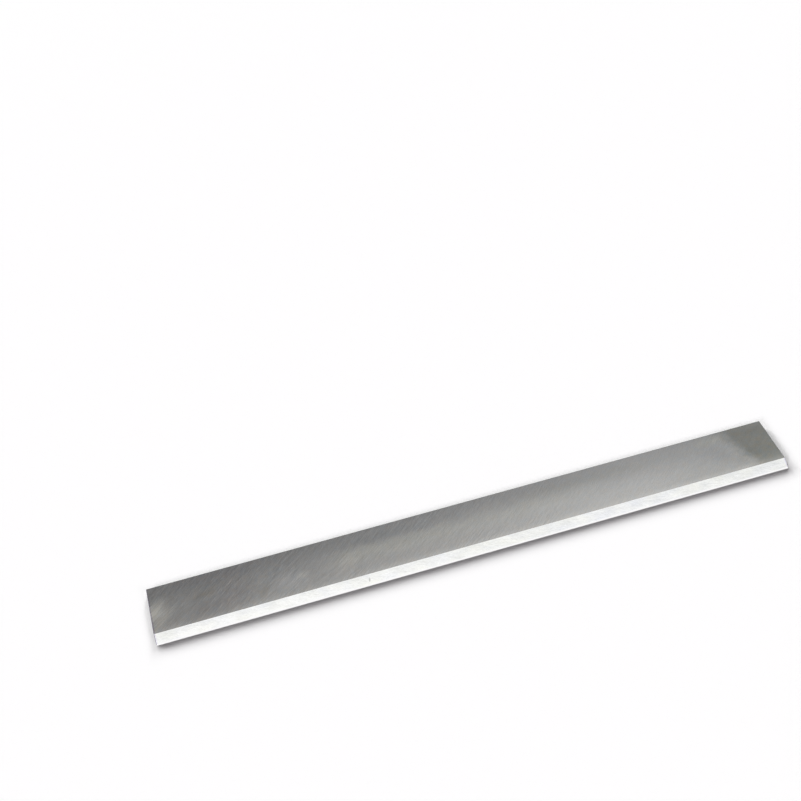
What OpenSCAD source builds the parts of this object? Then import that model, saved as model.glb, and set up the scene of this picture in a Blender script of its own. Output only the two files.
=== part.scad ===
/* [Steel strip] */
// Length of the knife along its cutting edge
knife_length = 300; // [100:5:640]
// Width from the cutting edge to the back edge
knife_width = 30; // [20:0.5:40]
// Thickness of the strip
knife_thickness = 3; // [2:0.1:4]

/* [Cutting edge] */
// Angle between the ground bevel and the flat underside
bevel_angle = 35; // [30:1:50]
// Width of the honed strip along the edge, measured down its own slope
hone_width = 0.6; // [0.2:0.05:1]
// How much steeper the honed strip is than the bevel
hone_rise = 4; // [1:0.5:10]

/* [Broken edges] */
// Width taken off each face by the flat along the two back corners
back_break = 0.3; // [0.1:0.05:0.6]
// Width taken off each face by the flat that runs round both ends
end_break = 0.2; // [0.1:0.05:0.5]

/* [Hidden] */
// The knife lies on its flat underside with the bevel up. X runs along the cutting
// edge, Y from the cutting edge to the back edge, Z through the thickness. The origin
// is the middle of the underside.
edge_y = -knife_width / 2;
back_y = knife_width / 2;

// The honed strip starts at the cutting edge and meets the bevel at its top
hone_angle = bevel_angle + hone_rise;
hone_top_y = edge_y + hone_width * cos(hone_angle);
hone_top_z = hone_width * sin(hone_angle);

// The bevel goes on from there, through the whole thickness, to the ridge
ridge_y = hone_top_y + (knife_thickness - hone_top_z) / tan(bevel_angle);

// Cross-section as (y, z), counter-clockwise from the cutting edge along the underside
section = [
    [edge_y, 0],
    [back_y - back_break, 0],
    [back_y, back_break],
    [back_y, knife_thickness - back_break],
    [back_y - back_break, knife_thickness],
    [ridge_y, knife_thickness],
    [hone_top_y, hone_top_z]
];

// A cutter is a block large enough to clear the end of the knife from any side
cutter_size = 2 * max(knife_width, knife_thickness);

// Bar of the ground section, cut square to length
module ground_bar() {
    rotate([90, 0, 90])
        linear_extrude(height = knife_length, center = true)
            polygon(section);
}

// Slope at 45 degrees along one edge of the end face. from and to are the corners of
// the section that the edge joins, and the solid lies on the left of that way.
module edge_break(from, to) {
    way = to - from;
    outward = atan2(way.y, way.x) - 90;
    translate([knife_length / 2, from.x, from.y])
        rotate([outward - 90, 0, 0])
            translate([-end_break, 0, 0])
                rotate([0, 45, 0])
                    translate([-cutter_size / 2, -cutter_size, 0])
                        cube([cutter_size, 2 * cutter_size, cutter_size]);
}

// Broken edge all round one end: one slope for each side of the section
module end_breaks() {
    for (i = [0 : len(section) - 1])
        edge_break(section[i], section[(i + 1) % len(section)]);
}

module planer_knife() {
    color("silver")
        difference() {
            ground_bar();
            end_breaks();
            mirror([1, 0, 0])
                end_breaks();
        }
}

planer_knife();
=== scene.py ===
import math

import bpy
import numpy as np
from mathutils import Matrix, Vector


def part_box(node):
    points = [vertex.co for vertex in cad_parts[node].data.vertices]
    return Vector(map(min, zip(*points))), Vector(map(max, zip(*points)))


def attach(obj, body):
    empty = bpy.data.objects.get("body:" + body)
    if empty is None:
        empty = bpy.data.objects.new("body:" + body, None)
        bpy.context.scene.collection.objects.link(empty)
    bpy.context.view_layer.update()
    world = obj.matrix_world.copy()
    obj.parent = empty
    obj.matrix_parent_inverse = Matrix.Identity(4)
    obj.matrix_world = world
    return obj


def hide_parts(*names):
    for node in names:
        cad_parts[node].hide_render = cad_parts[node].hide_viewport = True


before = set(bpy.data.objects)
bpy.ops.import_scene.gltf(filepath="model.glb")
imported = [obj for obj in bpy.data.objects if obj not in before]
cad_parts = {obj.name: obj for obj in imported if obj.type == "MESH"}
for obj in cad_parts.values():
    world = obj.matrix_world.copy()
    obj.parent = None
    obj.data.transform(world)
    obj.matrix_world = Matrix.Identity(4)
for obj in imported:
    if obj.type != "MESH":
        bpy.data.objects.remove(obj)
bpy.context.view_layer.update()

# Camera. It stands in front of the cutting edge and to the left, looks down on the
# bevelled face and leans a little to its right, as the photograph was taken.
PICTURE_SIDE = 801  # pixels
FOCAL_LENGTH = 1253  # in the same pixels
SENSOR = 36.0  # mm
AIM = Vector((-0.0085, 0.0932, 0.0))  # where its axis meets the table
DISTANCE = 0.6397
LOOKS_DOWN = math.radians(44.35)
TURNED_RIGHT = math.radians(11.21)
LEANS_RIGHT = math.radians(6.74)

ahead = Vector((
    math.sin(TURNED_RIGHT) * math.cos(LOOKS_DOWN),
    math.cos(TURNED_RIGHT) * math.cos(LOOKS_DOWN),
    -math.sin(LOOKS_DOWN),
))
camera = bpy.data.objects.new("camera", bpy.data.cameras.new("camera"))
camera.data.sensor_width = SENSOR
camera.data.lens = SENSOR * FOCAL_LENGTH / PICTURE_SIDE
camera.matrix_world = (
    Matrix.Translation(AIM - DISTANCE * ahead)
    @ ahead.to_track_quat("-Z", "Y").to_matrix().to_4x4()
    @ Matrix.Rotation(-LEANS_RIGHT, 4, "Z")
)
bpy.context.collection.objects.link(camera)
bpy.context.scene.camera = camera
bpy.context.scene.view_settings.view_transform = "Standard"


# Studio. A white room with one soft ceiling light, which the steel mirrors: the bevel
# sees it full, and the flat face sees its far edge fade. Three low lamps behind and two
# weak ones in front lay the shadow round the knife.
class Value:
    """A number in a node tree. Sums and products of it add Math nodes to that tree."""

    def __init__(self, tree, socket):
        self.tree = tree
        self.socket = socket

    def maths(self, operation, *terms):
        made = self.tree.nodes.new("ShaderNodeMath")
        made.operation = operation
        for place, term in zip(made.inputs, terms):
            feed(self.tree, place, term)
        return Value(self.tree, made.outputs["Value"])

    def __add__(self, other):
        return self.maths("ADD", self, other)

    def __sub__(self, other):
        return self.maths("SUBTRACT", self, other)

    def __rsub__(self, other):
        return self.maths("SUBTRACT", other, self)

    def __mul__(self, other):
        return self.maths("MULTIPLY", self, other)

    def __truediv__(self, other):
        return self.maths("DIVIDE", self, other)

    def root(self):
        return self.maths("SQRT", self)

    def most(self, other):
        return self.maths("MAXIMUM", self, other)

    def ramp(self, start, end, low=0.0, high=1.0):
        """Goes smoothly from low, where the number is start, to high, where it is end."""
        made = put(self.tree, "ShaderNodeMapRange", {
            "Value": self, "From Min": start, "From Max": end, "To Min": low, "To Max": high,
        }, interpolation_type="SMOOTHSTEP")
        return Value(self.tree, made.outputs["Result"])

    __radd__ = __add__
    __rmul__ = __mul__


def feed(tree, place, term):
    """Links a socket or a Value into place, or sets a plain number, vector or colour."""
    source = term.socket if isinstance(term, Value) else term
    if isinstance(source, bpy.types.NodeSocket):
        tree.links.new(source, place)
    else:
        place.default_value = source


def put(tree, kind, inputs=None, **settings):
    """Adds a node of this kind, with these settings and inputs."""
    made = tree.nodes.new(kind)
    for name, setting in settings.items():
        setattr(made, name, setting)
    for name, term in (inputs or {}).items():
        feed(tree, made.inputs[name], term)
    return made


def parts_of(tree, vector):
    """The three numbers of a vector."""
    made = put(tree, "ShaderNodeSeparateXYZ", {"Vector": vector})
    return [Value(tree, made.outputs[axis]) for axis in "XYZ"]


def unscattered(tree):
    """1 for a ray that has met no matt surface on its way from the camera, and else 0."""
    depth = put(tree, "ShaderNodeLightPath").outputs["Diffuse Depth"]
    return Value(tree, depth).ramp(0.0, 1.0, 1.0, 0.0)


def shown(tree):
    """1 for what the camera sees, straight or in a mirror or glass, and 0 for the light
    that falls on matt things, also where the steel throws it there."""
    path = put(tree, "ShaderNodeLightPath").outputs
    kinds = ("Camera", "Glossy", "Transmission")
    straight, mirrored, through = (Value(tree, path[f"Is {kind} Ray"]) for kind in kinds)
    return straight.most(mirrored).most(through) * unscattered(tree)


ROOM_LIGHT = 0.015  # share of the table's light, of which the lamps give the rest
SHADOW_TINT = (1.0, 0.957, 0.993)  # of the light that still reaches the shadow
LIGHT_EDGE = 0.69, 0.845  # from full to dark, as ceiling distance behind for one up
LIGHT_FRONT = -1.0, -2.2  # the same for its near side, which fades slowly
LIGHT_SKEW = 0.12  # how far the far edge runs off to the right
GAP_NEAR = -0.35, -0.12  # rims of a dim strip between its two halves, overhead
GAP_FAR = 0.55, 0.32
DARK_CEILING, DIM_CEILING, GAP_LIGHT = 0.20, 0.36, 0.68  # behind, in front, in the gap
WALL_TOP = 0.06, 0.62  # sines of the height at which white wall turns into ceiling
LEAST_UP = 0.05  # sine below which the ceiling gets no further away

world = bpy.data.worlds.new("studio")
bpy.context.scene.world = world
world.use_nodes = True
room = world.node_tree
room.nodes.clear()
right, back, up = parts_of(room, put(room, "ShaderNodeTexCoord").outputs["Generated"])
# Where a ray meets a ceiling one unit up
ceiling_x = right / up.most(LEAST_UP)
ceiling_y = back / up.most(LEAST_UP)
far_edge = (ceiling_y - LIGHT_SKEW * ceiling_x).ramp(*LIGHT_EDGE, 1.0, DARK_CEILING)
near_edge = ceiling_y.ramp(*LIGHT_FRONT, 1.0, DIM_CEILING)
gap = ceiling_y.ramp(*GAP_NEAR) * ceiling_y.ramp(*GAP_FAR)
ceiling = far_edge * near_edge * gap.ramp(0.0, 1.0, 1.0, GAP_LIGHT)
overhead = up.ramp(*WALL_TOP)
in_steel = 1.0 + overhead * (ceiling - 1.0)
straight = Value(room, put(room, "ShaderNodeLightPath").outputs["Is Camera Ray"])
white_room = put(room, "ShaderNodeBackground", {
    "Color": (1, 1, 1, 1), "Strength": in_steel.most(straight),
})
room_light = put(room, "ShaderNodeBackground", {
    "Color": (*SHADOW_TINT, 1), "Strength": ROOM_LIGHT,
})
either = put(room, "ShaderNodeMixShader", {
    0: shown(room), 1: room_light.outputs["Background"], 2: white_room.outputs["Background"],
})
put(room, "ShaderNodeOutputWorld", {"Surface": either.outputs["Shader"]})


def lamp(name, turned, height, spread, share, tint=(1, 1, 1)):
    """A far, soft lamp at an azimuth from +Y and a height above the table, spread over an
    angle, all in degrees. share is the part of the table's light that it gives."""
    turn, rise = math.radians(turned), math.radians(height)
    way = Vector((
        math.sin(turn) * math.cos(rise),
        math.cos(turn) * math.cos(rise),
        math.sin(rise),
    ))
    light = bpy.data.lights.new(name, "SUN")
    light.angle = math.radians(spread)
    light.energy = share * math.pi / math.sin(rise)
    light.color = tint
    made = bpy.data.objects.new(name, light)
    made.matrix_world = way.to_track_quat("Z", "Y").to_matrix().to_4x4()
    made.visible_glossy = False
    bpy.context.collection.objects.link(made)


lamp("back_lamp_left", turned=-29, height=19.5, spread=17, share=0.288)
lamp("back_lamp_middle", turned=-6, height=19.5, spread=12, share=0.265)
lamp("back_lamp_right", turned=17, height=18.8, spread=16, share=0.250)
lamp("front_lamp_left", turned=-131, height=26, spread=15, share=0.140, tint=SHADOW_TINT)
lamp("front_lamp_right", turned=145, height=27.5, spread=15, share=0.042, tint=SHADOW_TINT)


# Table. A smooth white sheet, larger than any view of it, that fades into the white room
# with distance and keeps the shadow of what lies on it. The steel throws none of the
# sheet's light back on it, so that the shadow stays whole.
SHEET_SIDE = 12.0
FADE_START, FADE_END = 0.35, 0.9  # from the middle

table = bpy.data.meshes.new("table")
corner = SHEET_SIDE / 2 * np.array([(-1, -1, 0), (1, -1, 0), (1, 1, 0), (-1, 1, 0)])
table.from_pydata(corner.tolist(), [], [(0, 1, 2, 3)])
sheet = bpy.data.materials.new("white_sheet")
sheet.use_nodes = True
tree = sheet.node_tree
tree.nodes.clear()
place = put(tree, "ShaderNodeTexCoord").outputs["Object"]
from_middle = put(tree, "ShaderNodeVectorMath", {0: place}, operation="LENGTH").outputs["Value"]
matt = put(tree, "ShaderNodeBsdfDiffuse", {"Color": unscattered(tree)})
white = put(tree, "ShaderNodeEmission", {"Color": (1, 1, 1, 1), "Strength": 1.0})
fade = put(tree, "ShaderNodeMixShader", {
    0: shown(tree) * Value(tree, from_middle).ramp(FADE_START, FADE_END),
    1: matt.outputs["BSDF"], 2: white.outputs["Emission"],
})
put(tree, "ShaderNodeOutputMaterial", {"Surface": fade.outputs["Shader"]})
table.materials.append(sheet)
table_top = bpy.data.objects.new("table_top", table)
bpy.context.collection.objects.link(table_top)


# Knife. One bar of high-speed steel, ground flat on both faces and cut square. The bevel
# is ground through the whole thickness, a narrow strip beside the edge is honed a little
# steeper, and the other corners are broken so that they don't cut the hand.
low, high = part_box("planer_knife")
LENGTH, WIDTH, THICKNESS = high - low
BEVEL_ANGLE = math.radians(35)
HONE_RISE = math.radians(4)
HONE_WIDTH = 0.0006  # down its own slope
BACK_BREAK = 0.0003  # taken off each face at the back corners
END_BREAK = 0.0002  # taken off each side at both ends
STATIONS = 61  # along the length, an odd number, so that one is in the middle
COLUMNS = 10  # across each broad face
BEVEL_COLUMNS = 2  # across the bevel


def knife_section():
    """Corners as rows of (y, z), from the cutting edge along the underside, up the back
    edge, along the face to the ridge and down the bevel to the honed strip."""
    hone = BEVEL_ANGLE + HONE_RISE
    hone_top = np.array((low.y + HONE_WIDTH * math.cos(hone), HONE_WIDTH * math.sin(hone)))
    ridge_y = hone_top[0] + (THICKNESS - hone_top[1]) / math.tan(BEVEL_ANGLE)
    return np.array([
        (low.y, 0),
        (high.y - BACK_BREAK, 0),
        (high.y, BACK_BREAK),
        (high.y, THICKNESS - BACK_BREAK),
        (high.y - BACK_BREAK, THICKNESS),
        (ridge_y, THICKNESS),
        hone_top,
    ])


def knife_ring(corners, columns):
    """The section with each side cut into its number of columns, and the side that each
    point starts."""
    ends = np.roll(corners, -1, axis=0)
    side = np.repeat(np.arange(len(corners)), columns)
    share = np.concatenate([np.arange(n) / n for n in columns])[:, None]
    return corners[side] + share * (ends - corners)[side], side


def drawn_in(ring, side, corners, depth):
    """The ring with every side moved inwards by depth. A corner moves to where its two
    moved sides meet, by depth * (n1 + n2) / (1 + n1.n2) with n the outward normals."""
    way = np.roll(corners, -1, axis=0) - corners
    normal = np.stack([way[:, 1], -way[:, 0]], 1)
    normal = normal / np.linalg.norm(normal, axis=1, keepdims=True)
    before = normal[np.roll(side, 1)]
    after = normal[side]
    share = (before + after) / (1 + (before * after).sum(1, keepdims=True))
    return ring - depth[:, None, None] * share


corners = knife_section()
# Underside, lower break, back edge, upper break, face, bevel and honed strip
ring, side = knife_ring(corners, [COLUMNS, 1, 1, 1, COLUMNS, BEVEL_COLUMNS, 1])
x = np.concatenate([
    [low.x],
    np.linspace(low.x + END_BREAK, high.x - END_BREAK, STATIONS),
    [high.x],
])
depth = np.maximum(np.abs(x) - (LENGTH / 2 - END_BREAK), 0)
rings = drawn_in(ring, side, corners, depth)
points = np.dstack([np.broadcast_to(x[:, None], rings.shape[:2]), rings])
count = len(ring)
at = np.arange(points.shape[0] * count).reshape(-1, count)
after = np.roll(at, -1, axis=1)
quads = np.stack([at[:-1], after[:-1], after[1:], at[1:]], -1).reshape(-1, 4)
caps = [at[0, ::-1].tolist(), at[-1].tolist()]
knife_mesh = bpy.data.meshes.new("knife")
knife_mesh.from_pydata(points.reshape(-1, 3).tolist(), [], quads.tolist() + caps)
knife = bpy.data.objects.new("knife", knife_mesh)
bpy.context.collection.objects.link(knife)

# Its skin is laid out flat in two half lengths, one above the other, with both ends on top
MAP_SIDE = 0.152  # metres of skin across the whole map
MAP_GAP = 0.0012  # metres between its pieces and round its rim


def laid_flat():
    """Each corner of a quad is laid at its distance along its half of the knife and its
    distance back round the section, and each corner of an end at its own y and z."""
    round_section = np.linalg.norm(np.roll(ring, -1, axis=0) - ring, axis=1)
    start = round_section.sum() - np.concatenate([[0], np.cumsum(round_section)])
    row = start[0] + MAP_GAP
    in_right_half = (x[:-1] + x[1:] > 0).astype(float)[:, None]
    along = np.stack([x[:-1], x[:-1], x[1:], x[1:]], 1)[:, None, :]
    along = along - (1 - in_right_half[..., None]) * low.x
    across = np.stack([start[:-1], start[1:], start[1:], start[:-1]], 1)[None]
    across = across + in_right_half[..., None] * row
    shape = (len(x) - 1, count, 4)
    flat = np.stack([np.broadcast_to(along, shape), np.broadcast_to(across, shape)], -1)
    ends = [
        np.stack([end[:, 1] - low.y + n * (WIDTH + MAP_GAP), end[:, 2] + 2 * row], 1)
        for n, end in enumerate((points[0, ::-1], points[-1]))
    ]
    return (np.concatenate([flat.reshape(-1, 2), *ends]) + MAP_GAP) / MAP_SIDE


skin = knife_mesh.uv_layers.new(name="OFBake")
skin.data.foreach_set("uv", laid_flat().astype(np.float32).ravel())


def new_group(name, takes, gives):
    """A node group with inputs, each a name with its kind and value, and one number as
    output. Returns the group, its inputs by name and its output's place."""
    group = bpy.data.node_groups.new(name, "ShaderNodeTree")
    sockets = group.interface
    for socket, (kind, value) in takes.items():
        made = sockets.new_socket(socket, in_out="INPUT", socket_type="NodeSocket" + kind)
        made.default_value = value
    sockets.new_socket(gives, in_out="OUTPUT", socket_type="NodeSocketFloat")
    taken = group.nodes.new("NodeGroupInput").outputs
    given = group.nodes.new("NodeGroupOutput").inputs
    return group, [taken[socket] for socket in takes], given[gives]


def placed(tree, group, inputs):
    """The number that a group gives, placed in tree with these inputs."""
    made = put(tree, "ShaderNodeGroup", node_tree=group)
    for name, term in inputs.items():
        feed(tree, made.inputs[name], term)
    return Value(tree, made.outputs[0])


# Marks of the grinding wheel. Each is a shallow arc, on which x - lean y - bend y^2 keeps
# one value. Spacing is the distance between marks along x, run is a mark's reach in y.
grinding, (vector, lean, bend, spacing, run), tone = new_group("ground_lay", {
    "Vector": ("Vector", (0, 0, 0)), "Lean": ("Float", 1.3), "Bend": ("Float", 0.0),
    "Spacing": ("Float", 1.0), "Run": ("Float", 8.0),
}, "Tone")
px, py, pz = parts_of(grinding, vector)
lean, bend, spacing, run = (Value(grinding, socket) for socket in (lean, bend, spacing, run))
along = put(grinding, "ShaderNodeCombineXYZ", {
    "X": (px - py * lean - py * py * bend) / spacing, "Y": py / run, "Z": pz / spacing,
})
noise = put(grinding, "ShaderNodeTexNoise", {
    "Vector": along.outputs["Vector"], "Scale": 1.0, "Detail": 2.0, "Roughness": 0.5,
})
feed(grinding, tone, Value(grinding, noise.outputs["Fac"]) - 0.5)

# A soft patch, for stains and for painted reflections and shade: an ellipse that is full in its
# middle and fades to its rim
patching, (vector, centre, turn, half_length, half_width), mask = new_group("soft_patch", {
    "Vector": ("Vector", (0, 0, 0)), "Centre": ("Vector", (0, 0, 0)), "Turn": ("Float", 0.0),
    "Half Length": ("Float", 10.0), "Half Width": ("Float", 5.0),
}, "Mask")
away = put(patching, "ShaderNodeVectorMath", {0: vector, 1: centre}, operation="SUBTRACT")
turned = put(patching, "ShaderNodeVectorRotate", {
    "Vector": away.outputs["Vector"], "Angle": 0.0 - Value(patching, turn),
}, rotation_type="Z_AXIS")
px, py, _ = parts_of(patching, turned.outputs["Vector"])
px, py = px / Value(patching, half_length), py / Value(patching, half_width)
feed(patching, mask, (px * px + py * py).root().ramp(1.0, 0.0))

# Clouds, the faint unevenness of ground and handled steel
clouding, (vector, size), tone = new_group("clouds", {
    "Vector": ("Vector", (0, 0, 0)), "Size": ("Float", 8.0),
}, "Tone")
scaled = put(clouding, "ShaderNodeVectorMath", {0: vector, 1: size}, operation="DIVIDE")
noise = put(clouding, "ShaderNodeTexNoise", {
    "Vector": scaled.outputs["Vector"], "Scale": 1.0, "Detail": 2.0, "Roughness": 0.5,
})
feed(clouding, tone, Value(clouding, noise.outputs["Fac"]) - 0.5)


class Finish:
    """One finish of the steel: its material, and the shade that multiplies the steel's
    colour, to which marks, stains and painted reflections and shade add. Places and sizes in
    it are in millimetres."""

    def __init__(self, name):
        made = bpy.data.materials.new(name)
        made.use_nodes = True
        self.tree = made.node_tree
        self.tree.nodes.clear()
        place = put(self.tree, "ShaderNodeTexCoord").outputs["Object"]
        self.mm = put(self.tree, "ShaderNodeVectorMath", {0: place, "Scale": 1000.0},
                      operation="SCALE").outputs["Vector"]
        self.x, self.y, _ = parts_of(self.tree, self.mm)
        self.shade = (1.0, 1.0, 1.0)
        knife_mesh.materials.append(made)

    def marks(self, **inputs):
        """Grinding marks, from about -0.4 to 0.4, with these inputs of their group."""
        return placed(self.tree, grinding, {"Vector": self.mm, **inputs})

    def clouds(self, size):
        """Clouds of this size, from about -0.4 to 0.4."""
        return placed(self.tree, clouding, {"Vector": self.mm, "Size": size})

    def patch(self, x, y, length, width, turn=0):
        """A soft patch with its middle at x and y, half its length and half its width,
        turned by an angle in degrees."""
        return placed(self.tree, patching, {
            "Vector": self.mm, "Centre": (x, y, 0), "Turn": math.radians(turn),
            "Half Length": length, "Half Width": width,
        })

    def add(self, mask, *change):
        """Adds change, one number or one each for red, green and blue, as far as mask says."""
        change = change if len(change) == 3 else change * 3
        made = put(self.tree, "ShaderNodeVectorMath", {
            0: change, 1: mask, 2: self.shade,
        }, operation="MULTIPLY_ADD")
        self.shade = made.outputs["Vector"]

    def steel(self, colour, roughness, height, depth):
        """The steel itself. height is turned into relief, depth metres for a height of 1."""
        base = put(self.tree, "ShaderNodeVectorMath", {
            0: colour, 1: self.shade,
        }, operation="MULTIPLY")
        relief = put(self.tree, "ShaderNodeBump", {
            "Height": height, "Distance": depth, "Strength": 1.0,
        })
        shader = put(self.tree, "ShaderNodeBsdfPrincipled", {
            "Base Color": base.outputs["Vector"], "Metallic": 1.0, "Roughness": roughness,
            "Normal": relief.outputs["Normal"],
        })
        put(self.tree, "ShaderNodeOutputMaterial", {"Surface": shader.outputs["BSDF"]})


GROUND_STEEL = (0.555, 0.552, 0.543)
MAIN_LAY = {"Lean": 1.30, "Bend": -0.006}
FINE_LAY = {"Lean": 1.0, "Bend": -0.006}
FLAT_LAY = {"Lean": 1.9, "Bend": -0.004}
STEEP_LAY = {"Lean": 0.5, "Bend": -0.004}
BACK_Y = 15.0  # mm, the back edge
# The right end's dark reflection, painted into the colour: where it starts, how it slants, how
# ragged and how soft its rim is
DARK_END_START = 128.2  # mm, at the back edge
DARK_END_SLANT = 0.34  # mm further right for each mm nearer the ridge
DARK_END_WAVES = 8.0  # mm, how ragged its rim is
DARK_END_BLUR = 5.5  # mm

# Clamping face, ground on a surface grinder in two passes, whose marks lean to the right.
# Its lighter and darker places and its dark right end are painted reflections.
face = Finish("ground_face")
# Mask of the dark right end, a painted reflection
painted_dark_end = face.x - DARK_END_START - DARK_END_SLANT * (BACK_Y - face.y)
painted_dark_end = (painted_dark_end - DARK_END_WAVES * face.clouds(5.0)).ramp(-DARK_END_BLUR, DARK_END_BLUR)
# The marks are weaker to the right and in the painted dark end, and finer and stronger at the
# left
strength = face.x.ramp(-10.0, 80.0, 1.0, 0.5) * (1.0 - 0.5 * painted_dark_end)
strength = strength * (1.0 + 1.6 * face.clouds(24.0))
left_third = face.x.ramp(-70.0, -100.0)
bands = face.marks(Spacing=3.4, Run=13.0, **MAIN_LAY) * strength
lines = face.marks(Spacing=0.9, Run=7.0, **MAIN_LAY) * strength
fine = strength * (1.0 + 0.35 * left_third)
hairs = face.marks(Spacing=0.5, Run=4.0, **FINE_LAY) * fine
face.add(bands, 0.11)
face.add(lines, 0.16)
face.add(hairs, 0.42)
face.add(face.marks(Spacing=0.9, Run=3.0, **FLAT_LAY) * strength, 0.12)
face.add(face.marks(Spacing=0.5, Run=2.5, **STEEP_LAY) * fine, 0.20)
face.add(face.clouds(9.0), 0.05)
face.add(face.clouds(2.2), 0.11, 0.01, -0.10)
face.add(face.clouds(0.4), 0.12)
# Single scratches that stand out of the marks at the left, and a brownish film there
scratches = face.marks(Spacing=0.8, Run=9.0, Lean=1.12)
face.add(scratches.ramp(0.12, 0.26) * left_third, 0.16, 0.14, 0.12)
face.add(scratches.ramp(-0.12, -0.28) * left_third, -0.12)
face.add(face.clouds(4.0) * left_third, 0.07, 0.0, -0.07)
face.add(face.clouds(1.3) * left_third, 0.10, 0.0, -0.10)
# A little bluer and lighter towards the back edge
face.add(face.y, 0.001, 0.0014, 0.0026)
# Painted reflections at the left end: a lighter place, and darker ones beside it
face.add(face.patch(-148.5, 0.8, 11, 6.8, 48), 0.60, 0.58, 0.50)
face.add(face.patch(-145, -4.5, 12, 3.5, 42), 0.21, 0.19, 0.14)
face.add(face.patch(-146, 0, 10, 4, 10), 0.15, 0.145, 0.13)
face.add(face.patch(-122, -5, 29, 11, 8), -0.19, -0.20, -0.19)
face.add(face.patch(-120, 13, 40, 7), -0.07, -0.085, -0.075)
face.add(face.patch(-122, 7, 24, 5.5), -0.08)
face.add(face.patch(-125, 3, 8, 3, 15), -0.10, -0.12, -0.16)
face.add(face.patch(-99, -4.5, 8, 3, 48), -0.10, -0.115, -0.14)
face.add(face.patch(-112, 2, 11, 14), 0.012, -0.006, -0.006)
# Painted reflections: a lighter spot, a lighter band along the middle and a dark one behind it
face.add(face.patch(-88, -2, 10, 6), 0.12, 0.125, 0.14)
face.add(face.patch(-81, -1, 4.4, 3.4), 0.18, 0.165, 0.13)
face.add(face.patch(-60, -1, 12, 7, 38), 0.095, 0.08, 0.06)
left_part = face.x.ramp(-76.0, -56.0) * face.x.ramp(5.0, -35.0)
right_part = face.x.ramp(-35.0, 5.0) * face.x.ramp(80.0, 25.0)
near_rim = face.y.ramp(-7.0, 2.5)
clear_rim = (face.y + 6.0 * bands + 5.0 * lines).ramp(7.2, 3.6)
faint_rim = (face.y + 14.0 * bands + 5.0 * lines).ramp(10.0, 1.0)
face.add(left_part * clear_rim * near_rim, 0.155, 0.155, 0.11)
face.add(right_part * faint_rim * near_rim, 0.13, 0.13, 0.10)
face.add(face.patch(-36, 8.6, 44, 3.8), -0.085, -0.065, -0.05)
face.add(face.patch(60, 8, 70, 6), -0.06, -0.055, -0.07)
face.add(face.patch(58, 4, 16, 5), 0.05)
face.add(face.patch(60, -3, 60, 8), 0.06, 0.066, 0.075)
face.add(face.patch(50, -8, 60, 3.5), 0.035)
face.add(face.patch(-80, -9.8, 32, 2.5), -0.05)
face.add(face.patch(-70, 4, 28, 10), 0.035)
# Painted reflection: the face darkens in a run-up to its dark right end, with a warm place
# behind it, and the painted dark end itself
face.add(face.x.ramp(75.0, 135.0), -0.19, -0.18, -0.18)
face.add(face.patch(122, 1, 14, 8, -20), -0.08, -0.08, -0.07)
face.add(face.patch(122, 11, 12, 4.5), 0.065, 0.06, 0.015)
face.add(painted_dark_end, -0.296, -0.305, -0.342)
face.add(painted_dark_end * face.y.ramp(10.0, 14.0), 0.07)
face.add(painted_dark_end * face.y.ramp(10.0, -8.0), -0.055, -0.045, -0.03)
face.add(painted_dark_end * face.y.ramp(-3.0, -10.0), 0.08)
face.add(face.patch(136, 1, 13, 4.5, -65), -0.03)
face.add(face.patch(131, -5, 8, 5), -0.05)
# A fine brown scratch, two specks, a painted reflection brightening the face along the ridge,
# and painted shade at the rim of the left end
face.add(face.patch(-111, 8, 8.6, 0.25, 41.7), 0.18, 0.13, 0.09)
face.add(face.patch(-111, 7, 0.6, 0.5), 0.12)
face.add(face.patch(-104.7, -2, 0.6, 0.5), 0.16, 0.08, 0.06)
face.add(face.y.ramp(-7.6, -10.6), 0.11)
face.add(face.x.ramp(-149.1, -149.7) * face.y.ramp(14.0, 5.0), -0.24, -0.26, -0.12)
face.steel(GROUND_STEEL, roughness=0.12 + lines * 0.06, height=bands + 0.3 * lines,
           depth=1.2e-6)

# Bevel, ground on a cup wheel that ran nearly along it, with a nick and painted shade at its
# ends
# Far lighter than the face's steel, partly a finer grind and partly the painted reflection of
# the overhead light
BEVEL_STEEL_AND_SHEEN = (0.943, 0.947, 0.94)
BEVEL_LAY = {"Lean": -2.6}
BLOTCH = 7.2  # mm, half the distance from one yellowish blotch to the next
bevel = Finish("ground_bevel")
lines = bevel.marks(Spacing=2.2, Run=1.2, **BEVEL_LAY)
hairs = bevel.marks(Spacing=0.5, Run=0.6, **BEVEL_LAY)
bevel.add(bevel.marks(Spacing=BLOTCH, Run=3.0, Lean=-0.7), 0.26, 0.245, 0.19)
bevel.add(bevel.marks(Spacing=1.3 * BLOTCH, Run=4.0, Lean=-0.3), 0.0, 0.02, 0.13)
bevel.add(lines, 0.16)
bevel.add(hairs, 0.26)
# Painted shade at the left end, painted light along the left half, three faint hue patches, and
# a painted highlight along the cutting edge
bevel.add(bevel.patch(-145, -13, 5, 3), -0.04, -0.04, -0.06)
bevel.add(bevel.patch(-75, -13, 85, 9), 0.02)
bevel.add(bevel.patch(-55, -13, 14, 8), 0.0, 0.0, -0.018)
bevel.add(bevel.patch(5, -13, 30, 8), 0.0, 0.0, -0.022)
bevel.add(bevel.patch(65, -13, 32, 8), 0.008, 0.008, 0.025)
bevel.add(bevel.y.ramp(-14.0, -14.5), 0.025)
# The nick, and a slow fall of the light to the right and towards the ridge
bevel.add(bevel.patch(-53, -12.9, 1.15, 0.6, 68), -0.34)
bevel.add(bevel.x.ramp(-60.0, 150.0), -0.075, -0.07, -0.075)
bevel.add(bevel.y.ramp(-14.6, -11.0), -0.05)
# Painted shade at both ends
from_middle = (bevel.x * bevel.x).root()
bevel.add(from_middle.ramp(148.9, 149.7), -0.12, -0.135, -0.04)
bevel.steel(BEVEL_STEEL_AND_SHEEN, roughness=0.20 + lines * 0.1, height=lines, depth=1.0e-6)

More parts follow.
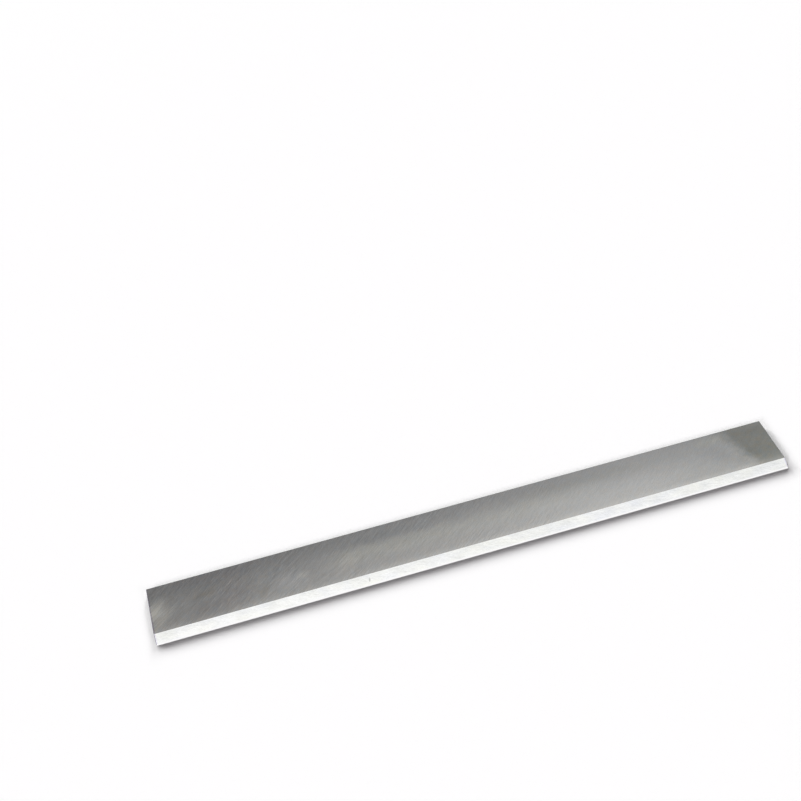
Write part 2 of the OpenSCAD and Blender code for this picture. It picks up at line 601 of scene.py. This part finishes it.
# Honed strip along the cutting edge, finer than the bevel, and lighter still: partly its finer
# finish and partly a painted glint along the edge
HONED_STEEL_AND_GLINT = (0.97, 0.97, 0.97)
hone = Finish("honed_strip")
hairs = hone.marks(Lean=8.0, Spacing=1.2, Run=0.4)
hone.add(hairs, 0.05)
hone.steel(HONED_STEEL_AND_GLINT, roughness=0.12, height=hairs, depth=0.4e-6)

# Underside, ground flat as the clamping face is, with none of its painted reflections
under = Finish("ground_underside")
bands = under.marks(Spacing=3.4, Run=13.0, **MAIN_LAY)
lines = under.marks(Spacing=0.9, Run=7.0, **MAIN_LAY)
hairs = under.marks(Spacing=0.24, Run=4.0, **MAIN_LAY)
under.add(bands, 0.14)
under.add(lines, 0.20)
under.add(hairs, 0.18)
under.add(under.clouds(11.0), 0.12)
under.steel(GROUND_STEEL, roughness=0.14 + lines * 0.06, height=bands + 0.3 * lines,
            depth=1.2e-6)

# Back edge and its broken corners, ground along the length
EDGE_STEEL = (0.42, 0.42, 0.41)
back_edge = Finish("ground_back_edge")
lines = back_edge.marks(Lean=0.0, Spacing=22.0, Run=0.3)
back_edge.add(lines, 0.25)
back_edge.add(back_edge.clouds(6.0), 0.12)
back_edge.steel(EDGE_STEEL, roughness=0.30, height=lines, depth=1.0e-6)

# Ends, cut through with a thin wheel that left them dark, with violet temper colours
CUT_STEEL = (0.30, 0.285, 0.325)
CUT_SQUEEZE = (1.0, 1.0, 14.0)  # turns clouds into lines along the width
cut = Finish("cut_end")
squeezed = put(cut.tree, "ShaderNodeVectorMath", {
    0: cut.mm, 1: CUT_SQUEEZE,
}, operation="MULTIPLY")
lines = placed(cut.tree, clouding, {"Vector": squeezed.outputs["Vector"], "Size": 3.0})
cut.add(lines, 0.4)
cut.add(cut.clouds(4.0), 0.3, 0.2, 0.5)
cut.steel(CUT_STEEL, roughness=0.32 + lines * 0.2, height=lines, depth=3.0e-6)

# Broken edge round each end, darker still: painted shade along the rims of the ends
BROKEN_END_SHADE = (0.10, 0.085, 0.125)
broken = Finish("broken_end")
broken.add(broken.clouds(2.0), 0.5)
broken.steel(BROKEN_END_SHADE, roughness=0.35, height=broken.clouds(0.4), depth=2.0e-6)

# The finish of each side of the section, from the underside on, and then of both ends
slot_of = {finish.name: slot for slot, finish in enumerate(knife_mesh.materials)}
finish_of_side = np.array([slot_of[name] for name in (
    "ground_underside", "ground_back_edge", "ground_back_edge", "ground_back_edge",
    "ground_face", "ground_bevel", "honed_strip",
)])
finishes = np.tile(finish_of_side[side], (len(x) - 1, 1))
finishes[[0, -1]] = slot_of["broken_end"]
finishes = np.concatenate([finishes.ravel(), [slot_of["cut_end"]] * 2])
knife_mesh.polygons.foreach_set("material_index", finishes.astype(np.int32))

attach(knife, "root")
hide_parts("planer_knife")
